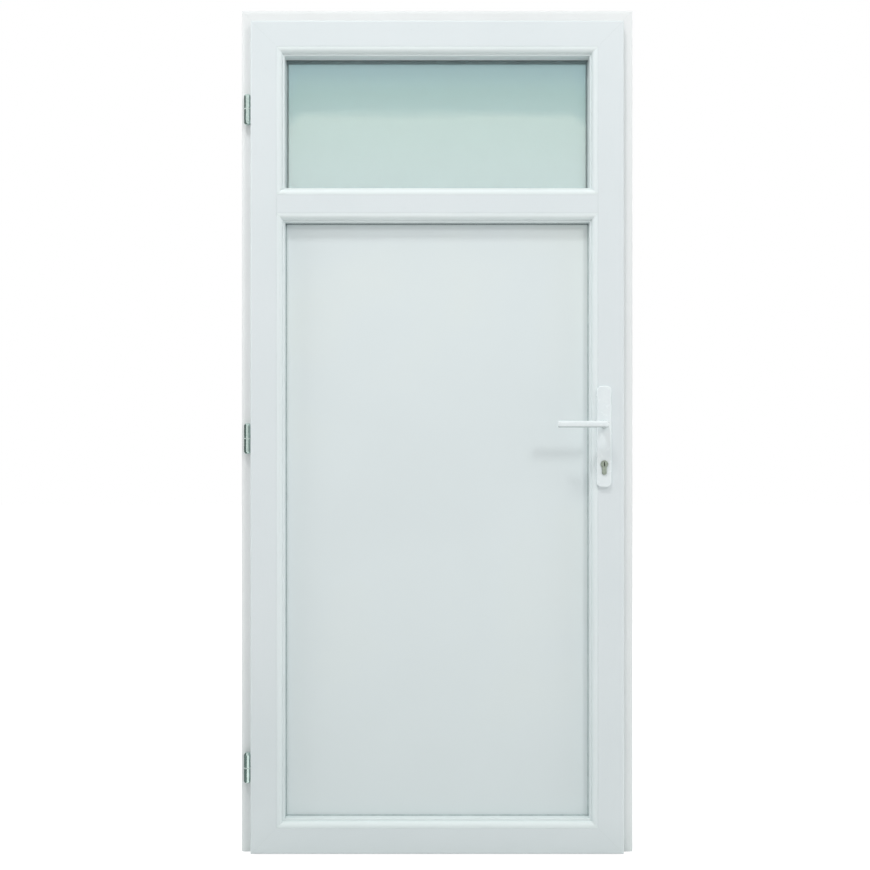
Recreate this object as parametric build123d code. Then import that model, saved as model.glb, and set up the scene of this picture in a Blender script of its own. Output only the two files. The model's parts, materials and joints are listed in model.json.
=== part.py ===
"""Front door: a white plastic frame and leaf with a glazed light over a flat panel.

X runs towards the lock side, Y towards the outside and Z up, in millimetres. The origin is the
middle of the threshold's underside. Sections are drawn with x running in from the outer edge and
y running back from the front face.
"""

from build123d import *
import os

# Fixed frame
FRAME_WIDTH = 920.0
FRAME_HEIGHT = 1980.0
FRAME_DEPTH = 70.0
FRAME_LEG = 37.0
FRAME_STOP = 13.0
FRAME_BEVEL = 6.0
FRAME_BEVEL_DROP = 1.2
REBATE_EDGE_RADIUS = 2.0
STOP_EDGE_RADIUS = 4.0

# Leaf
LEAF_DEPTH = 70.0
LEAF_BOTTOM = 3.0
LIP_THICKNESS = 17.0
LIP_OVERLAP = 13.0
HEAD_OVERLAP = 5.0
REBATE_GAP = 7.0
SEAL_GAP = 5.0
SASH_FACE = 61.0
SASH_EDGE_RADIUS = 4.0
BACK_LIP = 18.0
BACK_LIP_RADIUS = 5.0
TRANSOM_FACE = 44.0
TRANSOM_HEIGHT = 1520.0

# Groove for the lock rail, run round the leaf's edges
GROOVE_WIDTH = 16.0
GROOVE_DEPTH = 3.0

# Glass, panel, beads and seals
GLASS_SET = 40.0
PANEL_SET = 32.0
PANE = 4.0
CAVITY = 10.0
EDGE_GAP = 5.0
SPACER_HEIGHT = 8.0
SPACER_INSET = 3.0
BEAD_WIDTH = 17.5
BEAD_FLAT = 2.5
BEAD_STEP = 4.0
BEAD_STEP_RADIUS = 1.2
BEAD_JOINT = 0.7
INNER_SEAL = 3.0
OUTER_SEAL = 4.0
SEAL_SHOW = 2.0
SEAL_GRIP = 7.0
SEAL_CLEARANCE = 0.5
SEAL_NOSE_RADIUS = 1.4
LEAF_SEAL_INSET = 1.0
LEAF_SEAL_WIDTH = 4.0
FRAME_SEAL_INSET = 1.0
FRAME_SEAL_WIDTH = 4.0

# Threshold
THRESHOLD_NOSE = 9.0
THRESHOLD_EDGE = 3.0
TREAD_START = 12.0
TREAD_GROOVES = 5
TREAD_PITCH = 7.0
TREAD_WIDTH = 2.5
TREAD_DEPTH = 1.0

# Barrel hinges
HINGE_RADIUS = 8.0
HINGE_LENGTH = 72.0
HINGE_SIDE_GAP = 0.5
HINGE_SPLIT = 0.3
HINGE_DOME = 6.0
HINGE_PIN_RADIUS = 4.0
HINGE_PIN_REACH = 26.0
HINGE_PLAY = 0.06
HINGE_SET = 10.5
HINGE_FROM_BOTTOM = 199.0
HINGE_FROM_TOP = 205.0
STUD_RADIUS = 3.5
STUD_LENGTH = 26.0
STUD_PLAY = 0.1
COLLAR_RADIUS = 5.5

# Lock and handles
BACKSET = 28.0
SPINDLE_HEIGHT = 1005.0
CYLINDER_DROP = 92.0
CYLINDER_RADIUS = 8.5
CYLINDER_LEG = 10.0
CYLINDER_HEIGHT = 33.0
CYLINDER_PROUD = 3.0
PLUG_RADIUS = 6.5
PLUG_SEAM = 0.3
PLUG_SEAM_DEPTH = 0.6
KEYWAY_WIDTH = 2.6
KEYWAY_HEIGHT = 9.0
KEYWAY_DEPTH = 12.0
PLATE_WIDTH = 34.0
PLATE_HEIGHT = 236.0
PLATE_TOP = 90.0
PLATE_THICKNESS = 9.0
PLATE_CORNER = 12.0
PLATE_EDGE = 3.0
LEVER_REACH = 113.0
LEVER_STANDOFF = 48.0
LEVER_BEND = 8.0
LEVER_TALL = 15.0
LEVER_THICK = 12.0
LEVER_CORNER = 5.0
LEVER_TIP_RADIUS = 3.5
NECK_RADIUS = 9.0
NECK_LENGTH = 20.0
NECK_EDGE_RADIUS = 2.0
NECK_PLAY = 0.3
NECK_SET = 2.0
SPINDLE = 8.0
SPINDLE_PLAY = 0.2
SPINDLE_BORE = 8.0
SOCKET_DEPTH = 15.0
LATCH_RISE = 42.0
LATCH_WIDTH = 12.0
LATCH_HEIGHT = 22.0
LATCH_PROUD = 2.0
LATCH_SLOPE_DROP = 1.8
LATCH_SLOPE_RUN = 8.4
DEAD_BOLT_WIDTH = 9.0
DEAD_BOLT_HEIGHT = 34.0
BOLT_LENGTH = 15.0
BOLT_PLAY = 0.2
STRIKE_THICKNESS = 2.0
STRIKE_WIDTH = 22.0
STRIKE_MARGIN = 12.0
STRIKE_CORNER = 3.0
STRIKE_MOUTH = 2.0
STRIKE_POCKET = 14.0

# Places that follow from the sizes above
frame_front = -FRAME_DEPTH / 2
leaf_front = frame_front - SEAL_GAP - LIP_THICKNESS
leaf_back = leaf_front + LEAF_DEPTH
leaf_middle = (leaf_front + leaf_back) / 2
stop_depth = leaf_back + SEAL_GAP - frame_front
rebate_half = FRAME_WIDTH / 2 - FRAME_LEG
leaf_half = rebate_half + LIP_OVERLAP
leaf_top = FRAME_HEIGHT - FRAME_LEG + HEAD_OVERLAP
lip_reach = LIP_OVERLAP + REBATE_GAP
body_half = leaf_half - lip_reach
threshold_top = LEAF_BOTTOM + lip_reach - SEAL_GAP
unit_depth = 2 * PANE + CAVITY
unit_back = GLASS_SET + unit_depth
panel_depth = unit_back - PANEL_SET
rebate_depth = unit_back + OUTER_SEAL
light_half = leaf_half - SASH_FACE
glass_low = TRANSOM_HEIGHT + TRANSOM_FACE / 2
glass_high = leaf_top - SASH_FACE
panel_low = LEAF_BOTTOM + SASH_FACE
panel_high = TRANSOM_HEIGHT - TRANSOM_FACE / 2
groove_depth_place = (LIP_THICKNESS + LEAF_DEPTH) / 2
groove_y = leaf_front + groove_depth_place
spindle_x = body_half - BACKSET
cylinder_z = SPINDLE_HEIGHT - CYLINDER_DROP
plate_z = SPINDLE_HEIGHT + PLATE_TOP - PLATE_HEIGHT / 2
latch_z = SPINDLE_HEIGHT + LATCH_RISE
hinge_x = -leaf_half - HINGE_SIDE_GAP - HINGE_RADIUS
hinge_y = leaf_front + HINGE_SET
hinge_low = LEAF_BOTTOM + HINGE_FROM_BOTTOM
hinge_high = leaf_top - HINGE_FROM_TOP
HINGES = {"bottom": hinge_low, "middle": (hinge_low + hinge_high) / 2, "top": hinge_high}
BIG = 4 * FRAME_HEIGHT


def outline(*points):
    """A flat face inside straight lines from point to point."""
    return make_face(Polyline(*points, close=True))


def rounded(face, radius, *corners):
    """The face with the corners nearest to these points rounded."""
    picked = [face.vertices().sort_by_distance(corner)[0] for corner in corners]
    return fillet(picked, radius)


def side_plane(side, half, low, high, y):
    """Where a side's section is drawn: x runs inwards, y to the back, and z along the side."""
    planes = {
        "left": Plane((-half, y, low), x_dir=(1, 0, 0), z_dir=(0, 0, 1)),
        "top": Plane((-half, y, high), x_dir=(0, 0, -1), z_dir=(1, 0, 0)),
        "right": Plane((half, y, high), x_dir=(-1, 0, 0), z_dir=(0, 0, -1)),
        "bottom": Plane((half, y, low), x_dir=(0, 0, 1), z_dir=(-1, 0, 0)),
    }
    return planes[side]


def bar(section, side, half, low, high, y, mitres=(True, True)):
    """One side of a rectangle in this section, its ends cut at 45 degrees where mitred."""
    length = high - low if side in ("left", "right") else 2 * half
    reach = section.bounding_box().max.X
    near, far = (reach if mitre else 0.0 for mitre in mitres)
    blank = Plane.XZ * outline((0, 0), (reach, near), (reach, length - far), (0, length))
    straight = extrude(section, amount=length)
    return side_plane(side, half, low, high, y) * (straight & extrude(blank, amount=BIG, both=True))


def ring(section, half, low, high, y):
    """The four mitred sides of a rectangle in this section."""
    return {side: bar(section, side, half, low, high, y) for side in ("left", "top", "right", "bottom")}


def joined(pieces):
    """Pieces that meet at their mitres, as one solid."""
    first, *rest = pieces
    for piece in rest:
        first = first + piece
    return first


def block(x, y, z):
    """A box between two places on each axis."""
    return Pos((x[0] + x[1]) / 2, (y[0] + y[1]) / 2, (z[0] + z[1]) / 2) * Box(
        x[1] - x[0], y[1] - y[0], z[1] - z[0]
    )


def rod(start, direction, radius, length):
    """A round bar from a place along a direction."""
    return extrude(Plane(start, z_dir=direction) * Circle(radius), amount=length)


def front_plane(x, y, z):
    """A plane drawn as it is seen from the inside, which extrudes towards the viewer."""
    return Plane((x, y, z), x_dir=(1, 0, 0), z_dir=(0, -1, 0))


def outside_of(piece):
    """The same piece on the other face of the leaf."""
    return mirror(piece, about=Plane((0, leaf_middle, 0), z_dir=(0, 1, 0)))


# Sections


def frame_section():
    """Frame profile: a bevelled face, a rebate for the leaf and a stop behind it."""
    stop = FRAME_LEG + FRAME_STOP
    face = outline(
        (0, FRAME_BEVEL_DROP), (FRAME_BEVEL, 0), (FRAME_LEG, 0), (FRAME_LEG, stop_depth),
        (stop, stop_depth), (stop, FRAME_DEPTH), (0, FRAME_DEPTH),
    )
    face = rounded(face, REBATE_EDGE_RADIUS, (FRAME_LEG, 0))
    return rounded(face, STOP_EDGE_RADIUS, (stop, FRAME_DEPTH))


def sash_section():
    """Leaf profile: a lip that laps the frame, a grooved edge and a lip behind the glass."""
    inner = SASH_FACE + BACK_LIP
    floor = lip_reach + GROOVE_DEPTH
    near = groove_depth_place - GROOVE_WIDTH / 2
    far = groove_depth_place + GROOVE_WIDTH / 2
    face = outline(
        (0, 0), (SASH_FACE, 0), (SASH_FACE, rebate_depth), (inner, rebate_depth),
        (inner, LEAF_DEPTH), (lip_reach, LEAF_DEPTH), (lip_reach, far), (floor, far),
        (floor, near), (lip_reach, near), (lip_reach, LIP_THICKNESS), (0, LIP_THICKNESS),
    )
    face = rounded(face, SASH_EDGE_RADIUS, (0, 0))
    face = rounded(face, BEAD_JOINT, (SASH_FACE, 0))
    return rounded(face, BACK_LIP_RADIUS, (inner, LEAF_DEPTH))


def transom_section():
    """Bar between glass and panel, with a lip behind each of them."""
    half = TRANSOM_FACE / 2
    wide = half + BACK_LIP
    face = outline(
        (-half, 0), (half, 0), (half, rebate_depth), (wide, rebate_depth), (wide, LEAF_DEPTH),
        (-wide, LEAF_DEPTH), (-wide, rebate_depth), (-half, rebate_depth),
    )
    face = rounded(face, BEAD_JOINT, (half, 0), (-half, 0))
    return rounded(face, BACK_LIP_RADIUS, (wide, LEAF_DEPTH), (-wide, LEAF_DEPTH))


def bead_section(depth):
    """Glazing bead: level with the leaf's face, a quarter round, a small step and a wall to the glass."""
    step = BEAD_WIDTH - BEAD_STEP
    radius = step - BEAD_FLAT
    bend = ThreePointArc(
        (BEAD_FLAT, 0),
        (BEAD_FLAT + radius * 0.5**0.5, radius * (1 - 0.5**0.5)),
        (step, radius),
    )
    rest = Polyline(
        (step, radius), (BEAD_WIDTH, radius), (BEAD_WIDTH, depth), (0, depth), (0, BEAD_JOINT),
        (BEAD_JOINT, 0), (BEAD_FLAT, 0),
    )
    face = make_face([bend, *rest.edges()])
    return rounded(face, BEAD_STEP_RADIUS, (BEAD_WIDTH, radius))


def strip_section(start, end, front, back, nose):
    """Seal against the glass, its edge that shows rounded."""
    face = outline((start, front), (end, front), (end, back), (start, back))
    return rounded(face, SEAL_NOSE_RADIUS, nose)


def bulb_section(start, end, seat, tip):
    """Draught seal: flat on its seat, with a half round nose."""
    radius = (end - start) / 2
    shoulder = tip - radius if tip > seat else tip + radius
    nose = ThreePointArc((end, shoulder), ((start + end) / 2, tip), (start, shoulder))
    rest = Polyline((start, shoulder), (start, seat), (end, seat), (end, shoulder))
    return make_face([nose, *rest.edges()])


def cylinder_outline(play=0.0):
    """Profile cylinder seen end on: a round barrel over a narrow leg with a round foot."""
    half = CYLINDER_LEG / 2
    foot = CYLINDER_HEIGHT - CYLINDER_RADIUS - half
    leg = Pos(0, -foot / 2) * Rectangle(CYLINDER_LEG + 2 * play, foot)
    end = Pos(0, -foot) * Circle(half + play)
    return Circle(CYLINDER_RADIUS + play) + leg + end


# Fixed frame


def frame_bars():
    """The jambs, square at the floor, and the head mitred between them."""
    section = frame_section()
    half = FRAME_WIDTH / 2
    place = (half, 0, FRAME_HEIGHT, frame_front)
    hinge_jamb = bar(section, "left", *place, mitres=(False, True))
    lock_jamb = bar(section, "right", *place, mitres=(True, False))
    for height in HINGES.values():
        middle = height - HINGE_LENGTH / 4
        hinge_jamb = hinge_jamb - rod(
            (hinge_x, frame_front - 1, middle), (0, 1, 0), STUD_RADIUS + STUD_PLAY, STUD_LENGTH + 2
        )
    lock_jamb = lock_jamb - strike_blank(STRIKE_THICKNESS)
    for z, width, tall in bolt_mouths():
        lock_jamb = lock_jamb - block(
            (rebate_half - 1, rebate_half + STRIKE_POCKET),
            (groove_y - width / 2, groove_y + width / 2),
            (z - tall / 2, z + tall / 2),
        )
    return hinge_jamb, lock_jamb, bar(section, "top", *place)


def threshold(jambs):
    """Low metal sill between the jambs, notched round their stops, with a grooved tread."""
    flat = frame_front + stop_depth
    back = FRAME_DEPTH / 2
    section = outline(
        (frame_front, 0), (frame_front, threshold_top - THRESHOLD_EDGE),
        (frame_front + THRESHOLD_EDGE, threshold_top),
        (flat, threshold_top), (back, THRESHOLD_NOSE), (back, 0),
    )
    end = Plane((-rebate_half, 0, 0), x_dir=(0, 1, 0), z_dir=(1, 0, 0))
    sill = extrude(end * section, amount=2 * rebate_half)
    for count in range(TREAD_GROOVES):
        y = frame_front + TREAD_START + count * TREAD_PITCH
        cut = (threshold_top - TREAD_DEPTH, threshold_top + 1)
        sill = sill - block((-FRAME_WIDTH, FRAME_WIDTH), (y, y + TREAD_WIDTH), cut)
    for jamb in jambs:
        sill = sill - jamb
    return sill


def frame_seal():
    """Draught seal on the frame's stop, up one jamb, over the head and down the other."""
    end = FRAME_LEG + FRAME_STOP - FRAME_SEAL_INSET
    tip = stop_depth - SEAL_GAP + SEAL_CLEARANCE
    section = bulb_section(end - FRAME_SEAL_WIDTH, end, stop_depth, tip)
    place = (FRAME_WIDTH / 2, threshold_top, FRAME_HEIGHT, frame_front)
    return joined([
        bar(section, "left", *place, mitres=(False, True)),
        bar(section, "top", *place),
        bar(section, "right", *place, mitres=(True, False)),
    ])


def bolt_mouths():
    """Height, width and tallness of the holes that take the latch and the dead bolt."""
    return (
        (latch_z, LATCH_WIDTH + 2 * STRIKE_MOUTH, LATCH_HEIGHT + 2 * STRIKE_MOUTH),
        (cylinder_z, DEAD_BOLT_WIDTH + 2 * STRIKE_MOUTH, DEAD_BOLT_HEIGHT + 2 * STRIKE_MOUTH),
    )


def lock_span(margin):
    """Lowest and highest point of a plate that covers both bolts."""
    low = cylinder_z - DEAD_BOLT_HEIGHT / 2
    high = latch_z + LATCH_HEIGHT / 2
    return low - margin, high + margin


def strike_blank(thickness):
    """Outline of the strike plate, let into the lock jamb's rebate."""
    low, high = lock_span(2 * STRIKE_MARGIN)
    seat = Plane((rebate_half, groove_y, (low + high) / 2), x_dir=(0, 1, 0), z_dir=(1, 0, 0))
    return extrude(seat * RectangleRounded(STRIKE_WIDTH, high - low, STRIKE_CORNER), amount=thickness)


def strike_plate():
    """Metal plate level with the jamb, open where the bolts enter."""
    plate = strike_blank(STRIKE_THICKNESS)
    for z, width, tall in bolt_mouths():
        plate = plate - block(
            (rebate_half - 1, rebate_half + STRIKE_THICKNESS + 1),
            (groove_y - width / 2, groove_y + width / 2),
            (z - tall / 2, z + tall / 2),
        )
    return plate


def domed_barrel(start, direction):
    """Half of a hinge barrel from its split to a domed end."""
    length = (HINGE_LENGTH - HINGE_SPLIT) / 2
    barrel = rod(start, direction, HINGE_RADIUS, length)
    far_end = barrel.edges().filter_by(GeomType.CIRCLE).sort_by_distance(start)[-1]
    return fillet(far_end, HINGE_DOME)


def hinge_frame_half(height):
    """Lower half with the pin, held by a stud in the jamb."""
    split = (hinge_x, hinge_y, height - HINGE_SPLIT / 2)
    middle = height - HINGE_LENGTH / 4
    half = domed_barrel(split, (0, 0, -1))
    pin = HINGE_LENGTH / 4 + HINGE_PIN_REACH
    half = half + rod((hinge_x, hinge_y, middle), (0, 0, 1), HINGE_PIN_RADIUS, pin)
    half = half + rod((hinge_x, hinge_y, middle), (0, 1, 0), COLLAR_RADIUS, frame_front - hinge_y)
    return half + rod((hinge_x, hinge_y, middle), (0, 1, 0), STUD_RADIUS, frame_front - hinge_y + STUD_LENGTH)


def hinge_leaf_half(height):
    """Upper half that drops over the pin, held by a stud in the leaf's lip."""
    split = (hinge_x, hinge_y, height + HINGE_SPLIT / 2)
    middle = height + HINGE_LENGTH / 4
    half = domed_barrel(split, (0, 0, 1))
    half = half + rod((hinge_x, hinge_y, middle), (1, 0, 0), STUD_RADIUS, -leaf_half - hinge_x + STUD_LENGTH)
    bore = rod(
        (hinge_x, hinge_y, height - 1), (0, 0, 1), HINGE_PIN_RADIUS + HINGE_PLAY, HINGE_PIN_REACH + 2
    )
    return half - bore


# Leaf


def leaf_bars():
    """Stiles and rails in one profile, mitred at the corners, with holes for hinges and lock."""
    sides = ring(sash_section(), leaf_half, LEAF_BOTTOM, leaf_top, leaf_front)
    for height in HINGES.values():
        middle = height + HINGE_LENGTH / 4
        sides["left"] = sides["left"] - rod(
            (-leaf_half - 1, hinge_y, middle), (1, 0, 0), STUD_RADIUS + STUD_PLAY, STUD_LENGTH + 2
        )
    stile = sides["right"]
    stile = stile - rod((spindle_x, leaf_front - 1, SPINDLE_HEIGHT), (0, 1, 0), SPINDLE_BORE, LEAF_DEPTH + 2)
    keyhole = front_plane(spindle_x, leaf_back + 1, cylinder_z) * cylinder_outline(BOLT_PLAY)
    stile = stile - extrude(keyhole, amount=LEAF_DEPTH + 2)
    for bolt in (latch_body(BOLT_PLAY), dead_bolt(BOLT_PLAY)):
        stile = stile - bolt
    sides["right"] = stile
    return sides


def transom(stiles):
    """Bar across the leaf, its ends fitted to the stiles."""
    start = Plane((-light_half, leaf_front, TRANSOM_HEIGHT), x_dir=(0, 0, -1), z_dir=(1, 0, 0))
    span = extrude(start * transom_section(), amount=2 * light_half)
    for stile in stiles:
        span = span - stile
    return span


def sheet(low, high, front, thickness):
    """A flat sheet in the glazing rebate, with the edge gap all round."""
    half = light_half - EDGE_GAP
    return block(
        (-half, half),
        (leaf_front + front, leaf_front + front + thickness),
        (low + EDGE_GAP, high - EDGE_GAP),
    )


def glass_spacer():
    """Hollow bar that holds the two panes apart, just inside their edges."""
    start = EDGE_GAP + SPACER_INSET
    front = GLASS_SET + PANE
    section = outline(
        (start, front), (start + SPACER_HEIGHT, front),
        (start + SPACER_HEIGHT, front + CAVITY), (start, front + CAVITY),
    )
    return joined(ring(section, light_half, glass_low, glass_high, leaf_front).values())


def inner_seal(low, high, back):
    """Seal between the beads and the glass or panel."""
    end = BEAD_WIDTH + SEAL_SHOW
    front = back - INNER_SEAL
    section = strip_section(BEAD_WIDTH - SEAL_GRIP, end, front, back, (end, front))
    return joined(ring(section, light_half, low, high, leaf_front).values())


def outer_seal(low, high):
    """Seal between the glass or panel and the lip behind it."""
    end = BACK_LIP + SEAL_SHOW
    section = strip_section(BACK_LIP - SEAL_GRIP, end, unit_back, rebate_depth, (end, rebate_depth))
    return joined(ring(section, light_half, low, high, leaf_front).values())


def leaf_seal():
    """Draught seal behind the leaf's lip, all the way round."""
    end = LEAF_SEAL_INSET + LEAF_SEAL_WIDTH
    tip = LIP_THICKNESS + SEAL_GAP - SEAL_CLEARANCE
    section = bulb_section(LEAF_SEAL_INSET, end, LIP_THICKNESS, tip)
    return joined(ring(section, leaf_half, LEAF_BOTTOM, leaf_top, leaf_front).values())


# Lock and handles


def latch_body(play=0.0):
    """Latch as a plain block from the lock case to its nose."""
    return block(
        (body_half - BOLT_LENGTH - play, body_half + LATCH_PROUD),
        (groove_y - LATCH_WIDTH / 2 - play, groove_y + LATCH_WIDTH / 2 + play),
        (latch_z - LATCH_HEIGHT / 2 - play, latch_z + LATCH_HEIGHT / 2 + play),
    )


def latch_bolt():
    """Latch drawn back, its leading edge sloped."""
    bolt = latch_body()
    nose = (body_half + LATCH_PROUD, groove_y + LATCH_WIDTH, latch_z)
    edge = bolt.edges().filter_by(Axis.Z).sort_by_distance(nose)[0]
    return chamfer(edge, LATCH_SLOPE_DROP, LATCH_SLOPE_RUN)


def dead_bolt(play=0.0):
    """Dead bolt drawn back level with its faceplate."""
    return block(
        (body_half - BOLT_LENGTH - play, body_half),
        (groove_y - DEAD_BOLT_WIDTH / 2 - play, groove_y + DEAD_BOLT_WIDTH / 2 + play),
        (cylinder_z - DEAD_BOLT_HEIGHT / 2 - play, cylinder_z + DEAD_BOLT_HEIGHT / 2 + play),
    )


def lock_faceplate():
    """Metal strip in the leaf's edge groove, open for the two bolts."""
    low, high = lock_span(3 * STRIKE_MARGIN)
    plate = block(
        (body_half - GROOVE_DEPTH, body_half),
        (groove_y - GROOVE_WIDTH / 2, groove_y + GROOVE_WIDTH / 2),
        (low, high),
    )
    return plate - latch_body(BOLT_PLAY) - dead_bolt(BOLT_PLAY)


def lock_cylinder():
    """Profile cylinder through leaf and plates, with a plug and a keyway at each end."""
    proud = PLATE_THICKNESS + CYLINDER_PROUD
    length = LEAF_DEPTH + 2 * proud
    body = extrude(front_plane(spindle_x, leaf_back + proud, cylinder_z) * cylinder_outline(), amount=length)
    end = front_plane(spindle_x, leaf_front - proud, cylinder_z)
    seam = extrude(end * (Circle(PLUG_RADIUS + PLUG_SEAM) - Circle(PLUG_RADIUS)), amount=-PLUG_SEAM_DEPTH)
    keyway = extrude(end * Rectangle(KEYWAY_WIDTH, KEYWAY_HEIGHT), amount=-KEYWAY_DEPTH)
    for cut in (seam, keyway):
        body = body - cut - outside_of(cut)
    return body


def inside_backplate():
    """Long plate with rounded ends, bored for the lever's neck and the cylinder."""
    shape = RectangleRounded(PLATE_WIDTH, PLATE_HEIGHT, PLATE_CORNER)
    face = front_plane(spindle_x, leaf_front, plate_z) * shape
    plate = extrude(face, amount=PLATE_THICKNESS)
    rim = plate.faces().sort_by(Axis.Y)[0].edges()
    plate = fillet(rim, PLATE_EDGE)
    plate = plate - rod(
        (spindle_x, leaf_front + 1, SPINDLE_HEIGHT), (0, -1, 0), NECK_RADIUS + NECK_PLAY, PLATE_THICKNESS + 2
    )
    keyhole = front_plane(spindle_x, leaf_front + 1, cylinder_z) * cylinder_outline(BOLT_PLAY)
    return plate - extrude(keyhole, amount=PLATE_THICKNESS + 2)


def inside_lever():
    """Lever with a round neck in the backplate and a bent, soft-edged grip towards the hinges."""
    start = leaf_front - NECK_SET
    grip_y = leaf_front - LEVER_STANDOFF
    path = FilletPolyline(
        (spindle_x, start, SPINDLE_HEIGHT),
        (spindle_x, grip_y, SPINDLE_HEIGHT),
        (spindle_x - LEVER_REACH, grip_y, SPINDLE_HEIGHT),
        radius=LEVER_BEND,
    )
    foot = front_plane(spindle_x, start, SPINDLE_HEIGHT)
    grip = sweep(foot * RectangleRounded(LEVER_THICK, LEVER_TALL, LEVER_CORNER), path=path)
    tip = grip.faces().sort_by(Axis.X)[0].edges()
    grip = fillet(tip, LEVER_TIP_RADIUS)
    neck = rod((spindle_x, start, SPINDLE_HEIGHT), (0, -1, 0), NECK_RADIUS, NECK_LENGTH)
    shoulder = neck.edges().filter_by(GeomType.CIRCLE).sort_by(Axis.Y)[0]
    lever = grip + fillet(shoulder, NECK_EDGE_RADIUS)
    side = SPINDLE + SPINDLE_PLAY
    return lever - extrude(foot * Rectangle(side, side), amount=SOCKET_DEPTH)


def lever_spindle():
    """Square bar that turns both levers together."""
    reach = NECK_SET + SOCKET_DEPTH - 1
    face = front_plane(spindle_x, leaf_back + reach, SPINDLE_HEIGHT) * Rectangle(SPINDLE, SPINDLE)
    return extrude(face, amount=LEAF_DEPTH + 2 * reach)


def build():
    """Every piece by its name."""
    hinge_jamb, lock_jamb, head = frame_bars()
    sides = leaf_bars()
    stiles = (sides["left"], sides["right"])
    plate = inside_backplate()
    lever = inside_lever()
    nodes = {
        "frame_hinge_jamb": hinge_jamb,
        "frame_lock_jamb": lock_jamb,
        "frame_head": head,
        "threshold": threshold((hinge_jamb, lock_jamb)),
        "frame_seal": frame_seal(),
        "strike_plate": strike_plate(),
        "leaf_hinge_stile": sides["left"],
        "leaf_lock_stile": sides["right"],
        "leaf_top_rail": sides["top"],
        "leaf_bottom_rail": sides["bottom"],
        "leaf_transom": transom(stiles),
        "leaf_seal": leaf_seal(),
        "glass_inner_pane": sheet(glass_low, glass_high, GLASS_SET, PANE),
        "glass_outer_pane": sheet(glass_low, glass_high, GLASS_SET + PANE + CAVITY, PANE),
        "glass_spacer": glass_spacer(),
        "lower_panel": sheet(panel_low, panel_high, PANEL_SET, panel_depth),
        "glass_inner_seal": inner_seal(glass_low, glass_high, GLASS_SET),
        "glass_outer_seal": outer_seal(glass_low, glass_high),
        "panel_inner_seal": inner_seal(panel_low, panel_high, PANEL_SET),
        "panel_outer_seal": outer_seal(panel_low, panel_high),
        "lock_faceplate": lock_faceplate(),
        "latch_bolt": latch_bolt(),
        "dead_bolt": dead_bolt(),
        "lock_cylinder": lock_cylinder(),
        "inside_backplate": plate,
        "outside_backplate": outside_of(plate),
        "inside_lever": lever,
        "outside_lever": outside_of(lever),
        "lever_spindle": lever_spindle(),
    }
    lights = (("glass", glass_low, glass_high, GLASS_SET), ("panel", panel_low, panel_high, PANEL_SET))
    for kind, low, high, back in lights:
        section = bead_section(back - INNER_SEAL)
        for side, piece in ring(section, light_half, low, high, leaf_front).items():
            nodes[f"{kind}_bead_{side}"] = piece
    for place, height in HINGES.items():
        nodes[f"hinge_{place}_frame_half"] = hinge_frame_half(height)
        nodes[f"hinge_{place}_leaf_half"] = hinge_leaf_half(height)
    return nodes


os.makedirs("parts", exist_ok=True)
for name, piece in build().items():
    export_step(piece, f"parts/{name}.step")
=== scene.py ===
"""Looks of a white plastic front door: materials, seams, small fixings, light and camera."""

import json
import math

import bmesh
import bpy
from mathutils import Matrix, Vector
from mathutils.bvhtree import BVHTree


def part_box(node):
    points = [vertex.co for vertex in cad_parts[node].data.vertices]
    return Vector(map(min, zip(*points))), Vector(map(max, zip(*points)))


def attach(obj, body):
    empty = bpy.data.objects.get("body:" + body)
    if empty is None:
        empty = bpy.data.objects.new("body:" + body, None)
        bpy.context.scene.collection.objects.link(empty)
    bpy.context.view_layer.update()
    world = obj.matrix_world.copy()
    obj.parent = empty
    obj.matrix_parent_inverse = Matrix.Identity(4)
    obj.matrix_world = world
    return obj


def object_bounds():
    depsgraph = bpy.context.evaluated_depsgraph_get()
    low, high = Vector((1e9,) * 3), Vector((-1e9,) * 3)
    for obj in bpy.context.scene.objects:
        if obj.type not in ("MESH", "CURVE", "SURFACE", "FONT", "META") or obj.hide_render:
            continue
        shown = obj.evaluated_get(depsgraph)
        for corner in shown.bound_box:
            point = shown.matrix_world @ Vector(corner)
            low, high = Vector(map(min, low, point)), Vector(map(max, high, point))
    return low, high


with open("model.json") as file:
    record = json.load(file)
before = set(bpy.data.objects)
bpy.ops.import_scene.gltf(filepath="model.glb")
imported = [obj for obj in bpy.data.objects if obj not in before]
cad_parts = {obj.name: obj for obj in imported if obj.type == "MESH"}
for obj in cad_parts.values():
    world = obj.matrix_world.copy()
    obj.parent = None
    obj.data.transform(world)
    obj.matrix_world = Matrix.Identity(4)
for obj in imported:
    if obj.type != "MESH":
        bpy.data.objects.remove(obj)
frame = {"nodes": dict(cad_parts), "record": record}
cad_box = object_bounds()
nodes = frame["nodes"]
scene = bpy.context.scene
scene.view_settings.view_transform = "Standard"

# Picture size and the camera that fits the photograph's framing
IMAGE = 870
FOCAL_PIXELS = 934.7
CENTRE_PIXEL = (436.75, 442.2)
CAMERA_PLACE = (-0.001, -2.236, 0.964)
SENSOR = 36.0

# Widths of the bars' faces, for their joint lines
SASH_FACE = 0.061
FRAME_FACE = 0.050

# How far light bends in plastic and glass, and in rubber
PLASTIC_IOR = 1.5
RUBBER_IOR = 1.45

# Where painted shade lies: how far it reaches into corners, and how high it lies on the door
CORNER_SHADE_REACH = 0.004
FOOT_HEIGHT = 0.09
WAIST_HEIGHT = 0.9

# Textures drawn out along a bar's run
ALONG_X = (0.03, 1, 1)
ALONG_Z = (1, 1, 0.03)


# Node materials


def srgb(red, green, blue):
    """A colour from its screen values, 0 to 255, as linear light."""

    def linear(value):
        share = value / 255
        return share / 12.92 if share <= 0.04045 else ((share + 0.055) / 1.055) ** 2.4

    return linear(red), linear(green), linear(blue), 1.0


# Grey-green for real grime in drawn lines and specks, and for painted shade in corners and on undersides
GRIME_AND_SHADE = srgb(170, 184, 182)
# Paler grey-green painted low on the door as shade, darkest at its foot
FOOT_SHADE_TONE = srgb(196, 208, 207)


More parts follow.
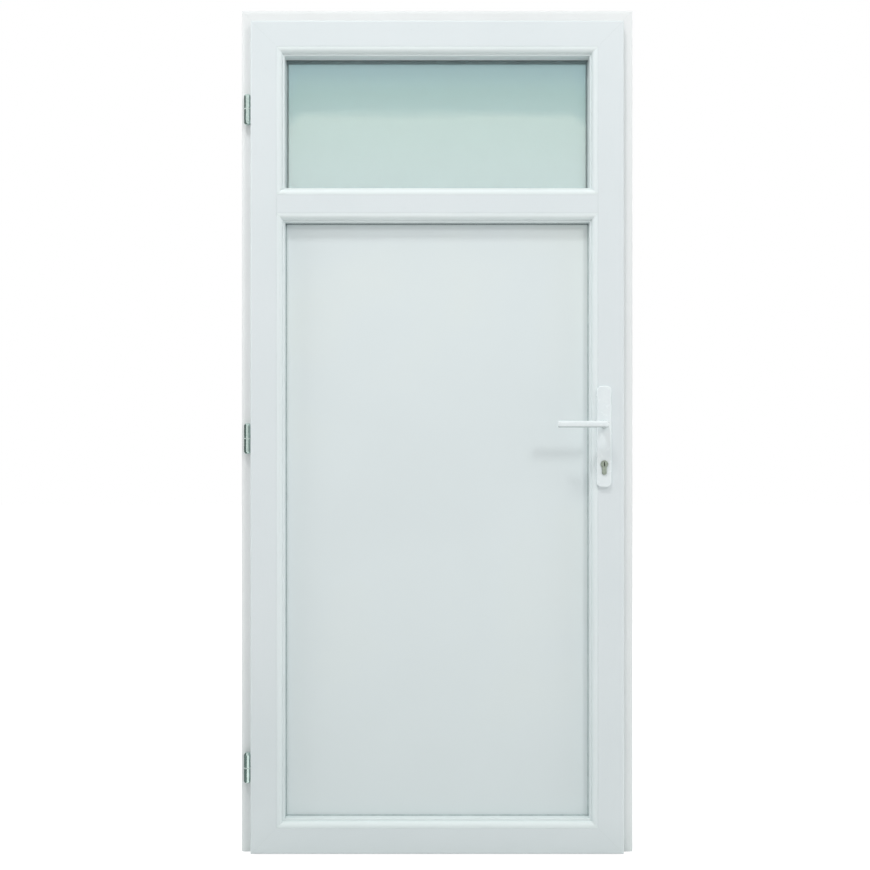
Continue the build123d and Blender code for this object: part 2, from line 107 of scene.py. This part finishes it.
class Look:
    """A node material on one Principled shader, with its textures in the object's own space."""

    def __init__(self, name, **values):
        self.material = bpy.data.materials.new(name)
        self.material.use_nodes = True
        self.tree = self.material.node_tree
        self.shader = self.tree.nodes["Principled BSDF"]
        for socket, value in values.items():
            self.shader.inputs[socket.replace("_", " ")].default_value = value
        self.coordinates = self.add("ShaderNodeTexCoord")
        self.place = self.coordinates.outputs["Object"]
        self.normal = None

    def add(self, kind, **settings):
        """A new node with these settings."""
        node = self.tree.nodes.new(kind)
        for name, value in settings.items():
            setattr(node, name, value)
        return node

    def link(self, source, target):
        """Joins an output to an input."""
        self.tree.links.new(source, target)

    def noise(self, scale, detail, stretch=(1, 1, 1)):
        """Soft noise, scale in waves per metre, drawn out along the axes with a small stretch."""
        mapping = self.add("ShaderNodeMapping")
        mapping.inputs["Scale"].default_value = stretch
        self.link(self.place, mapping.inputs["Vector"])
        texture = self.add("ShaderNodeTexNoise")
        texture.inputs["Scale"].default_value = scale
        texture.inputs["Detail"].default_value = detail
        self.link(mapping.outputs["Vector"], texture.inputs["Vector"])
        return texture.outputs["Fac"]

    def axis(self, letter):
        """One coordinate of the object's own space."""
        split = self.add("ShaderNodeSeparateXYZ")
        self.link(self.place, split.inputs["Vector"])
        return split.outputs[letter]

    def span(self, factor, low, high, start=0.0, end=1.0, smooth=False):
        """The factor between start and end, spread from low to high."""
        node = self.add("ShaderNodeMapRange")
        if smooth:
            node.interpolation_type = "SMOOTHSTEP"
        for socket, value in (("From Min", start), ("From Max", end), ("To Min", low), ("To Max", high)):
            node.inputs[socket].default_value = value
        self.link(factor, node.inputs["Value"])
        return node.outputs["Result"]

    def ramp(self, factor, *stops):
        """Colours along the factor."""
        node = self.add("ShaderNodeValToRGB")
        elements = node.color_ramp.elements
        while len(elements) < len(stops):
            elements.new(0.5)
        for element, (position, colour) in zip(elements, stops):
            element.position = position
            element.color = colour
        self.link(factor, node.inputs["Fac"])
        return node.outputs["Color"]

    def mix(self, factor, first, second):
        """Two colours mixed by a factor."""
        node = self.add("ShaderNodeMix", data_type="RGBA")
        self.feed(factor, node.inputs["Factor"])
        self.feed(first, node.inputs[6])
        self.feed(second, node.inputs[7])
        return node.outputs[2]

    def feed(self, value, target):
        """A socket or a plain value into an input."""
        if isinstance(value, bpy.types.NodeSocket):
            self.link(value, target)
        else:
            target.default_value = value

    def math(self, operation, first, second):
        """Two numbers put together."""
        node = self.add("ShaderNodeMath", operation=operation)
        self.feed(first, node.inputs[0])
        self.feed(second, node.inputs[1])
        return node.outputs["Value"]

    def corner_shade(self, distance, low, high):
        """A factor for painted shade: 1 in tight corners and 0 on open faces."""
        node = self.add("ShaderNodeAmbientOcclusion", samples=8)
        node.inputs["Distance"].default_value = distance
        return self.span(node.outputs["AO"], 1.0, 0.0, low, high)

    def foot_shade(self):
        """Painted shade low on the door, darkest at its foot and none from waist height up."""
        height = self.axis("Z")
        foot = self.span(height, 0.20, 0.0, 0.0, FOOT_HEIGHT)
        rest = self.span(height, 0.25, 0.0, 0.0, WAIST_HEIGHT, smooth=True)
        return self.math("ADD", foot, rest)

    def bump(self, height, distance, strength=1.0):
        """Relief of this height in metres, on top of any relief already there."""
        node = self.add("ShaderNodeBump")
        node.inputs["Strength"].default_value = strength
        node.inputs["Distance"].default_value = distance
        self.link(height, node.inputs["Height"])
        if self.normal:
            self.link(self.normal, node.inputs["Normal"])
        self.normal = node.outputs["Normal"]
        self.link(self.normal, self.shader.inputs["Normal"])

    def set(self, socket, source):
        """Drives one of the shader's inputs."""
        self.link(source, self.shader.inputs[socket])


def white_plastic(name, light, dark, run):
    """Smooth white extrusion: faint clouding and drawn lines along its run, with painted shade in its
    corners and low on the door.
    """
    look = Look(name, IOR=PLASTIC_IOR)
    clouds = look.ramp(look.noise(2.6, 4), (0.32, dark), (0.68, light))
    lines = look.noise(700, 2, stretch=run)
    drawn = look.mix(look.span(lines, 0.0, 0.025, 0.45, 0.75), clouds, GRIME_AND_SHADE)
    specks = look.mix(look.span(look.noise(240, 2), 0.0, 0.08, 0.64, 0.80), drawn, GRIME_AND_SHADE)
    # Painted shade: darker low on the door, most at its foot
    toned = look.mix(look.foot_shade(), specks, FOOT_SHADE_TONE)
    # Painted shade: darker in corners, where less light reaches
    corner_shading = look.span(look.corner_shade(CORNER_SHADE_REACH, 0.30, 0.85), 0.0, 0.08)
    look.set("Base Color", look.mix(corner_shading, toned, GRIME_AND_SHADE))
    look.set("Roughness", look.span(look.noise(22, 4), 0.24, 0.38))
    look.bump(look.noise(6.0, 2), 0.0002)
    look.bump(lines, 0.00001, 0.15)
    return look.material


def panel_plastic():
    """The large flat skin: the same white, with broad gentle waves that bend its reflections."""
    look = Look("panel_skin", IOR=PLASTIC_IOR)
    low, middle, high = srgb(219, 228, 229), srgb(222, 231, 232), srgb(225, 233, 231)
    clouds = look.ramp(look.noise(1.7, 3), (0.30, low), (0.52, middle), (0.72, high))
    # Painted shade: darker low on the door, and darker in its corners where less light reaches
    toned = look.mix(look.foot_shade(), clouds, FOOT_SHADE_TONE)
    corner_shading = look.span(look.corner_shade(CORNER_SHADE_REACH, 0.35, 0.95), 0.0, 0.06)
    look.set("Base Color", look.mix(corner_shading, toned, GRIME_AND_SHADE))
    look.set("Roughness", look.span(look.noise(14, 4), 0.26, 0.40))
    look.bump(look.noise(3.2, 2, stretch=(1, 1, 0.45)), 0.0010)
    look.bump(look.noise(1300, 2), 0.00001, 0.6)
    return look.material


def glass_look():
    """Pale green glass with faint wipe marks, its colour painted darker towards its top and sides as shade
    and reflection.
    """
    low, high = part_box("glass_inner_pane")
    side_shade_from = 0.32
    clearness = 0.80
    look = Look("pale_green_glass", IOR=PLASTIC_IOR, Transmission_Weight=clearness)
    height = look.span(look.axis("Z"), 0.0, 1.0, low[2], high[2])
    wipes = look.span(look.noise(9, 4, stretch=(0.25, 1, 2.4)), -0.05, 0.05)
    across = look.math("ABSOLUTE", look.axis("X"), 0.0)
    # Painted shade: darker towards the sides, beside the beads
    sides = look.span(across, 0.0, 0.10, side_shade_from, high[0])
    shade = look.math("ADD", look.math("ADD", height, wipes), sides)
    # Painted shade and reflection: the colour darkens towards the top and is paler lower down
    look.set("Base Color", look.ramp(
        shade,
        (0.0, srgb(239, 250, 249)),
        (0.54, srgb(235, 248, 245)),
        (0.63, srgb(220, 238, 236)),
        (0.75, srgb(214, 234, 232)),
        (0.93, srgb(211, 232, 234)),
    ))
    look.set("Roughness", look.span(look.noise(30, 4), 0.03, 0.08))
    look.bump(look.noise(5, 2, stretch=(0.5, 1, 1.2)), 0.0006)
    return look.material


def rubber_look(name, toned, top_shade_tone, top):
    """Grey extruded rubber in its own pale tone, with painted shade along its top run, under the bead."""
    look = Look(name, IOR=RUBBER_IOR)
    bloom = look.noise(60, 5)
    top_shade_starts = top - 0.008
    top_shade_full_from = top - 0.002
    pale = look.ramp(bloom, (0.3, toned[0]), (0.7, toned[1]))
    shaded_top = look.ramp(bloom, (0.3, top_shade_tone[0]), (0.7, top_shade_tone[1]))
    # Painted shade: the run along the top is darker, where the bead above shades it
    top_shade_mask = look.span(look.axis("Z"), 0.0, 1.0, top_shade_starts, top_shade_full_from)
    look.set("Base Color", look.mix(top_shade_mask, pale, shaded_top))
    look.set("Roughness", look.span(bloom, 0.50, 0.72))
    look.bump(look.noise(900, 3), 0.00003, 0.7)
    return look.material


def steel_look(name, light, dark, rough):
    """Bright zinc-plated steel, brushed along its height, with small dull spots."""
    look = Look(name, Metallic=1.0)
    look.set("Base Color", look.ramp(look.noise(130, 5), (0.35, dark), (0.65, light)))
    grain = look.noise(900, 3, stretch=ALONG_Z)
    look.set("Roughness", look.span(grain, rough - 0.06, rough + 0.08))
    look.bump(grain, 0.00001, 0.5)
    return look.material


def powder_coat(name, underside_shade):
    """White powder coat: a fine orange peel under a soft gloss, with painted shade on its underside and in
    its corners.
    """
    look = Look(name, IOR=PLASTIC_IOR)
    colour = look.ramp(look.noise(28, 3), (0.3, srgb(228, 236, 238)), (0.7, srgb(235, 242, 243)))
    facing = look.add("ShaderNodeSeparateXYZ")
    look.link(look.coordinates.outputs["Normal"], facing.inputs["Vector"])
    # Painted shade: faces turned downward are darker
    shaded_underside = look.mix(look.span(facing.outputs["Z"], underside_shade, 0.0, -0.8, -0.1), colour, GRIME_AND_SHADE)
    # Painted shade in corners
    corner_shading = look.span(look.corner_shade(CORNER_SHADE_REACH, 0.35, 0.95), 0.0, 0.35)
    look.set("Base Color", look.mix(corner_shading, shaded_underside, GRIME_AND_SHADE))
    look.set("Roughness", look.span(look.noise(90, 3), 0.20, 0.32))
    look.bump(look.noise(620, 2), 0.00003, 0.8)
    return look.material


def cylinder_look():
    """Nickel rubbed through to brass, with grime and painted shade darkening the recesses."""
    look = Look("rubbed_nickel", Metallic=1.0)
    colour = look.ramp(look.noise(190, 5), (0.35, srgb(158, 168, 153)), (0.65, srgb(180, 190, 178)))
    # Grime and painted shade: much darker in the recesses, where less light reaches
    recess_grime_and_shade = look.span(look.corner_shade(0.003, 0.2, 0.9), 0.0, 0.8)
    look.set("Base Color", look.mix(recess_grime_and_shade, colour, srgb(62, 66, 54)))
    look.set("Roughness", look.span(look.noise(700, 3), 0.28, 0.50))
    look.bump(look.noise(1200, 3, stretch=(1, 0.1, 1)), 0.00002, 0.6)
    return look.material


def aluminium_look():
    """Satin anodised aluminium, drawn along its length."""
    look = Look("satin_aluminium", Metallic=1.0)
    tone = look.noise(18, 4, stretch=(0.1, 1, 1))
    colour = look.ramp(tone, (0.3, srgb(178, 181, 184)), (0.7, srgb(200, 203, 205)))
    wear = look.span(look.noise(55, 6), 0.0, 0.4, 0.55, 0.75)
    look.set("Base Color", look.mix(wear, colour, srgb(150, 150, 146)))
    grain = look.noise(800, 3, stretch=ALONG_X)
    look.set("Roughness", look.span(grain, 0.30, 0.46))
    look.bump(grain, 0.00002, 0.6)
    return look.material


def seam_look():
    """Fine joint line, a little darker than the plastic beside it."""
    look = Look("joint_line", IOR=RUBBER_IOR)
    colour = look.ramp(look.noise(120, 4), (0.3, srgb(176, 188, 186)), (0.7, srgb(198, 208, 206)))
    look.set("Base Color", colour)
    look.set("Roughness", look.span(look.noise(300, 3), 0.45, 0.65))
    return look.material


def bushing_look():
    """Pale moulded plastic of the hinge bushings, with a fine matt grain."""
    look = Look("hinge_bushing", IOR=PLASTIC_IOR)
    colour = look.ramp(look.noise(160, 4), (0.3, srgb(180, 193, 189)), (0.7, srgb(198, 210, 206)))
    look.set("Base Color", colour)
    look.set("Roughness", look.span(look.noise(500, 3), 0.38, 0.55))
    look.bump(look.noise(1400, 2), 0.00001, 0.6)
    return look.material


def seen_directly(tree, path):
    """1 for rays that the camera sees straight on, in a mirror or through glass."""
    total = path.outputs["Is Camera Ray"]
    for kind in ("Is Glossy Ray", "Is Transmission Ray"):
        both = tree.nodes.new("ShaderNodeMath")
        both.operation = "MAXIMUM"
        tree.links.new(total, both.inputs[0])
        tree.links.new(path.outputs[kind], both.inputs[1])
        total = both.outputs["Value"]
    return total


def floor_look():
    """White floor that shows as white to the camera and still takes a soft shadow."""
    grey = 0.70
    glow_strength = 1.45
    glow_share = 0.62
    material = bpy.data.materials.new("studio_floor")
    material.use_nodes = True
    tree = material.node_tree
    tree.nodes.clear()
    output = tree.nodes.new("ShaderNodeOutputMaterial")
    lit = tree.nodes.new("ShaderNodeBsdfDiffuse")
    lit.inputs["Color"].default_value = (grey, grey, grey, 1)
    glow = tree.nodes.new("ShaderNodeEmission")
    glow.inputs["Strength"].default_value = glow_strength
    path = tree.nodes.new("ShaderNodeLightPath")
    share = tree.nodes.new("ShaderNodeMath")
    share.operation = "MULTIPLY"
    share.inputs[1].default_value = glow_share
    seen = seen_directly(tree, path)
    tree.links.new(seen, share.inputs[0])
    mix = tree.nodes.new("ShaderNodeMixShader")
    tree.links.new(share.outputs["Value"], mix.inputs["Fac"])
    tree.links.new(lit.outputs["BSDF"], mix.inputs[1])
    tree.links.new(glow.outputs["Emission"], mix.inputs[2])
    tree.links.new(mix.outputs["Shader"], output.inputs["Surface"])
    return material


# Meshes


def new_piece(name, mesh, material, body):
    """A new object of the door, riding on a body."""
    piece = bpy.data.objects.new(name, mesh)
    scene.collection.objects.link(piece)
    mesh.materials.append(material)
    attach(piece, body)


def finished_mesh(name, build, smooth=True):
    """The built faces as a mesh, their sides facing out."""
    bmesh.ops.recalc_face_normals(build, faces=build.faces)
    mesh = bpy.data.meshes.new(name)
    build.to_mesh(mesh)
    build.free()
    if smooth:
        mesh.shade_smooth()
    return mesh


def cord_mesh(name, lines, radius, sides=8):
    """Thin round beads along several lines of points, as one mesh."""
    build = bmesh.new()
    turns = [2 * math.pi * step / sides for step in range(sides)]
    for points in lines:
        rings = []
        for index, point in enumerate(points):
            ahead = points[min(index + 1, len(points) - 1)]
            behind = points[max(index - 1, 0)]
            along = (ahead - behind).normalized()
            across = along.orthogonal().normalized()
            up = along.cross(across)
            rim = [radius * (math.cos(a) * across + math.sin(a) * up) for a in turns]
            rings.append([build.verts.new(point + offset) for offset in rim])
        for first, second in zip(rings, rings[1:]):
            for step in range(sides):
                after = (step + 1) % sides
                build.faces.new((first[step], first[after], second[after], second[step]))
        build.faces.new(reversed(rings[0]))
        build.faces.new(rings[-1])
    return finished_mesh(name, build)


def ring_mesh(name, centre, profile, sides=48):
    """A ring round an upright axis from a closed profile of radius and height."""
    build = bmesh.new()
    turns = [2 * math.pi * step / sides for step in range(sides)]
    loops = [
        [build.verts.new(Vector(centre) + Vector((r * math.cos(a), r * math.sin(a), h))) for r, h in profile]
        for a in turns
    ]
    for first, second in zip(loops, loops[1:] + loops[:1]):
        for step in range(len(profile)):
            after = (step + 1) % len(profile)
            build.faces.new((first[step], second[step], second[after], first[after]))
    return finished_mesh(name, build)


def screw_mesh(name, places, out, radius, sides=32):
    """Flat screw heads with a cross recess, standing a little out of the plate at each place."""
    build = bmesh.new()
    out = Vector(out)
    side = out.orthogonal().normalized()
    up = out.cross(side)
    arm = radius * 0.62
    half = radius * 0.16
    depth = radius * 0.30
    proud = radius * 0.10
    edge_rise = proud * 0.4
    crown_scale = 0.86
    cross_taper = 0.8
    cross = [
        (arm, -half), (arm, half), (half, half), (half, arm), (-half, arm), (-half, half),
        (-arm, half), (-arm, -half), (-half, -half), (-half, -arm), (half, -arm), (half, -half),
    ]
    turns = [2 * math.pi * step / sides for step in range(sides)]
    rim = [(radius * math.cos(a), radius * math.sin(a)) for a in turns]

    def loop(centre, points, rise, scale=1.0):
        return [build.verts.new(centre + scale * (x * side + y * up) + rise * out) for x, y in points]

    def wall(lower, upper):
        for step in range(len(lower)):
            after = (step + 1) % len(lower)
            build.faces.new((lower[step], lower[after], upper[after], upper[step]))

    for place in places:
        centre = Vector(place)
        foot = loop(centre, rim, -proud)
        edge = loop(centre, rim, edge_rise)
        crown = loop(centre, rim, proud, crown_scale)
        mouth = loop(centre, cross, proud)
        floor_of_cross = loop(centre, cross, proud - depth, cross_taper)
        wall(foot, edge)
        wall(edge, crown)
        wall(mouth, floor_of_cross)
        build.faces.new(foot)
        build.faces.new(floor_of_cross)
        edges = []
        for points in (crown, mouth):
            for first, second in zip(points, points[1:] + points[:1]):
                edges.append(build.edges.get((first, second)))
        bmesh.ops.triangle_fill(build, edges=edges, use_beauty=True)
    return finished_mesh(name, build, smooth=False)


def node_tree(name):
    """A node's surface, to drop points on."""
    mesh = nodes[name].data
    return BVHTree.FromPolygons([v.co for v in mesh.vertices], [p.vertices for p in mesh.polygons])


def draped(start, end, names, toward, steps=24):
    """Points along a line in the door's plane, dropped along Y onto the first surface that they meet."""
    trees = [node_tree(name) for name in names]
    points = []
    for step in range(steps + 1):
        x, z = Vector(start).lerp(Vector(end), step / steps)
        begin = Vector((x, -DROP_FROM * toward, z))
        hits = [tree.ray_cast(begin, Vector((0, toward, 0)))[0] for tree in trees]
        hits = [hit for hit in hits if hit]
        if hits:
            points.append(min(hits, key=lambda hit: (hit - begin).length))
    return points


# Make the looks and hand them to the modelled pieces

# Tones of each white. Painted light: the frame's white is set lighter than the leaf's, to offset the shade
# that the proud leaf casts on it
WHITES = {
    "frame_plastic": (srgb(233, 236, 236), srgb(229, 232, 232)),
    "leaf_plastic": (srgb(224, 231, 233), srgb(220, 228, 230)),
    "bead_plastic": (srgb(233, 241, 241), srgb(229, 238, 238)),
}
# Painted shade: the upright beads are a little darker than the level ones, copies of one white set for how
# the light falls on them
UPRIGHT_WHITES_SHADED_BEAD = {**WHITES, "bead_plastic": (srgb(230, 238, 239), srgb(226, 235, 236))}
looks = {
    "panel_plastic": panel_plastic(),
    "glass": glass_look(),
    "hinge_steel": steel_look("hinge_zinc", srgb(206, 224, 218), srgb(189, 207, 201), rough=0.20),
    # The plates get light painted shade on their undersides
    "handle_paint": powder_coat("plate_powder_coat", underside_shade=0.10),
    "cylinder_brass": cylinder_look(),
    "mill_aluminium": aluminium_look(),
    "lock_steel": steel_look("lock_zinc", srgb(196, 199, 200), srgb(166, 170, 172), rough=0.32),
}
# Rubber tones: a dark painted-shade grey for the seals' top runs, and pale greys for the rest
SHADED_RUBBER = (srgb(98, 112, 114), srgb(116, 130, 131))
PALE_GREY_RUBBER = (srgb(162, 176, 177), srgb(184, 197, 198))
PALE_RUBBER = (srgb(160, 173, 174), srgb(182, 194, 194))
looks["seal_rubber"] = rubber_look("seal_rubber", PALE_GREY_RUBBER, PALE_GREY_RUBBER, cad_box[1][2])
# The levers get stronger painted shade on their undersides
lever_coat = powder_coat("lever_powder_coat", underside_shade=0.60)
glass_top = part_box("glass_bead_top")[0][2]
panel_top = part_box("panel_bead_top")[0][2]
own_looks = {
    "inside_lever": lever_coat,
    "outside_lever": lever_coat,
    "glass_inner_seal": rubber_look("glass_seal_rubber", PALE_GREY_RUBBER, SHADED_RUBBER, glass_top),
    "panel_inner_seal": rubber_look("panel_seal_rubber", PALE_RUBBER, SHADED_RUBBER, panel_top),
}
upright = {
    slot: white_plastic(slot + "_upright", *tones, ALONG_Z)
    for slot, tones in UPRIGHT_WHITES_SHADED_BEAD.items()
}
level = {
    slot: white_plastic(slot + "_level", *tones, ALONG_X)
    for slot, tones in WHITES.items()
}
LEVEL_WORDS = ("head", "rail", "transom", "bead_top", "bead_bottom")
slots = {part["node"]: part["material_slot"] for part in frame["record"]["subparts"]}
for name, piece in nodes.items():
    slot = slots[name]
    across = any(word in name for word in LEVEL_WORDS)
    material = (level if across else upright).get(slot) or own_looks.get(name) or looks[slot]
    piece.data.materials.clear()
    piece.data.materials.append(material)


# Joint lines at the mitres and at the ends of the transom

# How far off the door a line's points start, how thick the line is and how far it lies beside its joint
DROP_FROM = 0.3
SEAM_RADIUS = 0.00010
BESIDE = 0.00004
joint_line = seam_look()


def mitre_lines(low, high, half, inset, names, toward):
    """Lines over the four mitred corners of a ring of bars, on one side of the door."""
    lines = []
    for side in (-1, 1):
        for height, fall in ((low, inset), (high, -inset)):
            start = (side * half + BESIDE, height)
            end = (side * (half - inset) + BESIDE, height + fall)
            lines.append(draped(start, end, names, toward))
    return lines


def sides_of(ring):
    """The four nodes of a ring of beads."""
    return [ring + "_" + side for side in ("left", "top", "right", "bottom")]


leaf_ring = ["leaf_hinge_stile", "leaf_lock_stile", "leaf_top_rail", "leaf_bottom_rail"]
leaf_low, leaf_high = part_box("leaf_hinge_stile")
leaf_half = -leaf_low[0]
leaf_lines = []
for toward in (1, -1):
    leaf_lines += mitre_lines(leaf_low[2], leaf_high[2], leaf_half, SASH_FACE, leaf_ring, toward)
for ring in ("glass_bead", "panel_bead"):
    low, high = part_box(ring + "_left")
    width = high[0] - low[0]
    leaf_lines += mitre_lines(low[2], high[2], -low[0], width, sides_of(ring), 1)
transom_low, transom_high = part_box("leaf_transom")
stile_edge = leaf_half - SASH_FACE
for side in (-1, 1):
    for toward in (1, -1):
        start = (side * (stile_edge - BESIDE), transom_low[2])
        end = (side * (stile_edge - BESIDE), transom_high[2])
        leaf_lines.append(draped(start, end, ["leaf_transom"], toward))
leaf_lines = [line for line in leaf_lines if len(line) > 1]
leaf_seams = cord_mesh("leaf_joint_lines", leaf_lines, SEAM_RADIUS)
new_piece("leaf_joint_lines", leaf_seams, joint_line, "leaf")

frame_ring = ["frame_head", "frame_hinge_jamb", "frame_lock_jamb"]
frame_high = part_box("frame_head")[1]
frame_lines = []
for side in (-1, 1):
    for toward in (1, -1):
        start = (side * frame_high[0] + BESIDE, frame_high[2])
        end = (side * (frame_high[0] - FRAME_FACE) + BESIDE, frame_high[2] - FRAME_FACE)
        frame_lines.append(draped(start, end, frame_ring, toward))
frame_seams = cord_mesh("frame_joint_lines", frame_lines, SEAM_RADIUS)
new_piece("frame_joint_lines", frame_seams, joint_line, "frame")


# Small fixings

# The screws' heads, and how far they sit from the ends of their plates
SCREW_RADIUS = 0.0036
SCREW_INSET = 0.011
for plate, body, out in (("lock_faceplate", "leaf", 1), ("strike_plate", "frame", -1)):
    low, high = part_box(plate)
    face = high[0] if out > 0 else low[0]
    middle = (low[1] + high[1]) / 2
    places = [(face, middle, low[2] + SCREW_INSET), (face, middle, high[2] - SCREW_INSET)]
    name = plate + "_screws"
    screws = screw_mesh(name, places, (out, 0, 0), SCREW_RADIUS)
    new_piece(name, screws, looks["lock_steel"], body)

# How far a bushing stands out of its barrel, half its height and how deep it reaches in
BUSHING_PROUD = 0.0003
BUSHING_HALF = 0.0012
BUSHING_SKIN = 0.0004
bushing = bushing_look()
for place in ("bottom", "middle", "top"):
    low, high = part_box(f"hinge_{place}_leaf_half")
    radius = (high[1] - low[1]) / 2
    outer = radius + BUSHING_PROUD
    inner = radius - BUSHING_SKIN
    bevel = BUSHING_PROUD
    profile = [
        (inner, -BUSHING_HALF), (outer - bevel, -BUSHING_HALF), (outer, -BUSHING_HALF + bevel),
        (outer, BUSHING_HALF - bevel), (outer - bevel, BUSHING_HALF), (inner, BUSHING_HALF),
    ]
    centre = (low[0] + radius, (low[1] + high[1]) / 2, low[2])
    name = f"hinge_{place}_bushing"
    new_piece(name, ring_mesh(name, centre, profile), bushing, "frame")


# Floor, light and camera

FLOOR = 12.0
floor_mesh = bpy.data.meshes.new("floor")
floor_corners = [(-FLOOR, -FLOOR, 0), (FLOOR, -FLOOR, 0), (FLOOR, FLOOR, 0), (-FLOOR, FLOOR, 0)]
floor_mesh.from_pydata(floor_corners, [], [(0, 1, 2, 3)])
floor = bpy.data.objects.new("floor", floor_mesh)
scene.collection.objects.link(floor)
floor_mesh.materials.append(floor_look())


def grey_card(name, corners, light, dark):
    """A grey screen beside the door that shows only in reflections."""
    mesh = bpy.data.meshes.new(name)
    mesh.from_pydata(corners, [], [(0, 1, 2, 3)])
    look = Look(name, Roughness=0.9)
    look.set("Base Color", look.ramp(look.noise(4, 2), (0.3, dark), (0.7, light)))
    mesh.materials.append(look.material)
    card = bpy.data.objects.new(name, mesh)
    card.visible_camera = False
    card.visible_diffuse = False
    card.visible_transmission = False
    card.visible_shadow = False
    scene.collection.objects.link(card)


def upright_corners(x, y, z):
    """The corners of a screen that stands square to the door."""
    return [(x, y[0], z[0]), (x, y[1], z[0]), (x, y[1], z[1]), (x, y[0], z[1])]


def lying_corners(x, y, z):
    """The corners of a screen that lies over the floor."""
    return [(x[0], y[0], z), (x[1], y[0], z), (x[1], y[1], z), (x[0], y[1], z)]


SCREEN_HEIGHTS = (0.0, 2.4)
LEFT_SCREEN_X = -1.6
LEFT_SCREEN_Y = (-1.9, 1.0)
LEFT_FLOOR_X = (LEFT_SCREEN_X, -0.5)
OVER_FLOOR = 0.002
RIGHT_SCREEN_X = 1.7
RIGHT_SCREEN_Y = (-5.0, 1.2)
LEFT_GREYS = (srgb(112, 122, 120), srgb(102, 112, 110))
RIGHT_GREYS = (srgb(192, 196, 194), srgb(182, 186, 184))
left_corners = upright_corners(LEFT_SCREEN_X, LEFT_SCREEN_Y, SCREEN_HEIGHTS)
left_floor_corners = lying_corners(LEFT_FLOOR_X, LEFT_SCREEN_Y, OVER_FLOOR)
right_corners = upright_corners(RIGHT_SCREEN_X, RIGHT_SCREEN_Y, SCREEN_HEIGHTS)
grey_card("left_screen", left_corners, *LEFT_GREYS)
grey_card("left_floor_screen", left_floor_corners, *LEFT_GREYS)
grey_card("right_screen", right_corners, *RIGHT_GREYS)


def area_light(name, place, target, size, energy):
    """A soft square lamp aimed at a point, that metal and glass don't show."""
    data = bpy.data.lights.new(name, "AREA")
    data.size = size
    data.energy = energy
    lamp = bpy.data.objects.new(name, data)
    lamp.location = place
    lamp.rotation_euler = (Vector(target) - Vector(place)).to_track_quat("-Z", "Y").to_euler()
    lamp.visible_glossy = False
    lamp.visible_transmission = False
    scene.collection.objects.link(lamp)


# Name, place, point that it is aimed at, width in metres and power in watts
LAMPS = (
    ("ceiling", (-0.8, -2.4, 5.1), (0.0, 0.0, 1.0), 0.7, 64),
    ("top", (0.0, -0.9, 4.6), (0.0, 0.0, 0.5), 0.8, 10),
    ("key", (2.5, -3.6, 4.0), (0.0, 0.0, 1.0), 0.9, 58),
    ("left_side", (-2.8, -0.5, 2.0), (0.0, 0.0, 1.2), 1.6, 30),
    ("right_side", (2.8, -0.4, 0.8), (0.0, 0.0, 0.9), 1.4, 17),
    ("outside_left", (-1.8, 3.0, 3.6), (0.0, 0.0, 1.0), 1.2, 46),
    ("outside_right", (2.0, 2.6, 2.6), (0.0, 0.0, 1.0), 1.2, 30),
)
for lamp in LAMPS:
    area_light(*lamp)

# Light from all round, and a plain white background
AMBIENT = 0.48
world = bpy.data.worlds.new("studio")
scene.world = world
world.use_nodes = True
sky = world.node_tree
background = sky.nodes["Background"]
path = sky.nodes.new("ShaderNodeLightPath")
seen = seen_directly(sky, path)
strength = sky.nodes.new("ShaderNodeMapRange")
strength.inputs["To Min"].default_value = AMBIENT
strength.inputs["To Max"].default_value = 1.0
sky.links.new(seen, strength.inputs["Value"])
sky.links.new(strength.outputs["Result"], background.inputs["Strength"])
background.inputs["Color"].default_value = (1, 1, 1, 1)

camera_data = bpy.data.cameras.new("camera")
camera_data.sensor_width = SENSOR
camera_data.lens = FOCAL_PIXELS / IMAGE * SENSOR
camera_data.shift_x = (IMAGE / 2 - CENTRE_PIXEL[0]) / IMAGE
camera_data.shift_y = (CENTRE_PIXEL[1] - IMAGE / 2) / IMAGE
camera = bpy.data.objects.new("camera", camera_data)
camera.location = CAMERA_PLACE
camera.rotation_euler = (math.pi / 2, 0, 0)
scene.collection.objects.link(camera)
scene.camera = camera
